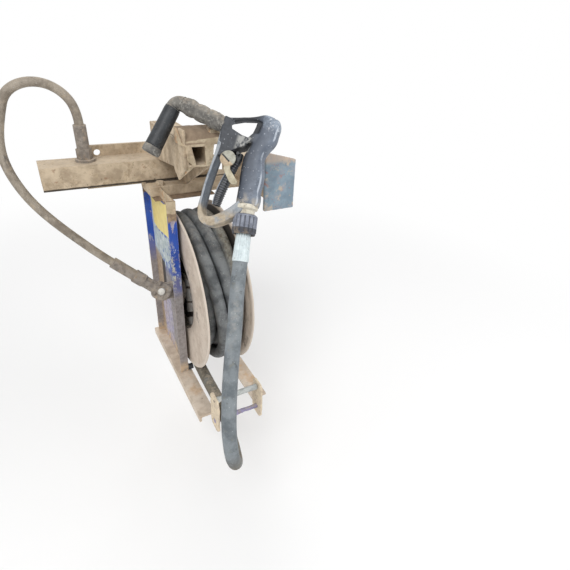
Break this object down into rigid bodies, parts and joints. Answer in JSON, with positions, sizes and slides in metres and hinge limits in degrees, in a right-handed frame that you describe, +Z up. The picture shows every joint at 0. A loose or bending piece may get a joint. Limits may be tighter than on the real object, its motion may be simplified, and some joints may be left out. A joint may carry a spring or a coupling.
{
  "type": "hose reel station for washing down",
  "caption": "Hose reel on a bolted rail, with its guide, swivel, feed hose, rubber hose and a trigger spray gun hung on the holder above the drum.",
  "frame": {"origin": "centre of the four bolt holes, on the back face of the mounting plate", "axes": "+Y out of the mounting plate's back face, towards what it is bolted to; +Z up; +X along the drum axis, away from the arm"},
  "size_m": [0.5166, 0.5834, 0.6535],
  "materials": {
    "mud_steel": "matte",
    "blue_paint": "satin",
    "grey_blue_paint": "matte",
    "disc_steel": "matte",
    "dull_steel": "satin",
    "bright_steel": "satin",
    "hose_rubber": "matte",
    "feed_rubber": "matte",
    "gun_plastic": "matte",
    "black_plastic": "matte",
    "cream_plastic": "matte",
    "pale_sleeve": "satin",
    "roller_plastic": "satin"
  },
  "bodies": {
    "station": {"arm": "blue_paint", "base_left": "mud_steel", "base_right": "mud_steel", "base_tie": "mud_steel", "bearing_housing": "dull_steel", "carrier_bar": "mud_steel", "catch": "cream_plastic", "coupling_nut": "black_plastic", "cross_bar": "grey_blue_paint", "elbow": "black_plastic", "end_box": "mud_steel", "end_plate": "grey_blue_paint", "feed_ferrule": "dull_steel", "feed_hose": "feed_rubber", "feed_nut": "dull_steel", "guide_plate_left": "mud_steel", "guide_plate_right": "mud_steel", "gun_body": "gun_plastic", "gun_ring": "cream_plastic", "holder_plate_left": "mud_steel", "holder_plate_right": "mud_steel", "holder_tube": "mud_steel", "hose_sleeve": "pale_sleeve", "inlet_ferrule": "dull_steel", "inlet_flange": "dull_steel", "inlet_nut": "dull_steel", "lance_sleeve": "black_plastic", "lock_knob": "black_plastic", "mounting_plate": "mud_steel", "nozzle": "black_plastic", "rail": "mud_steel", "rest_box": "mud_steel", "roller_pin": "dull_steel", "swivel_body": "dull_steel", "swivel_cap": "bright_steel", "trigger_pin": "bright_steel", "working_hose": "hose_rubber"},
    "drum": {"drum_shaft": "dull_steel", "hub_bolts": "dull_steel", "left_disc": "disc_steel", "right_disc": "disc_steel", "drum_barrel": "disc_steel", "hub_plate_left": "disc_steel", "hub_plate_right": "disc_steel", "wound_hose": "hose_rubber"},
    "roller": {"guide_roller": "roller_plastic"},
    "trigger_lever": {"trigger": "black_plastic"}
  },
  "joints": [
    {"name": "drum_turn", "type": "hinge", "parent": "station", "child": "drum", "pos_m": [0.057, -0.157, -0.246], "axis": [1, 0, 0], "continuous": true},
    {"name": "roller_turn", "type": "hinge", "parent": "station", "child": "roller", "pos_m": [0.051, -0.379, -0.396], "axis": [1, 0, 0], "continuous": true},
    {"name": "trigger_squeeze", "type": "hinge", "parent": "station", "child": "trigger_lever", "pos_m": [0.08988, -0.30841, 0.08245], "axis": [-0.5377, -0.6529, 0.5335], "range_deg": [0, 9], "stiffness_Nm_per_rad": 0.5}
  ]
}
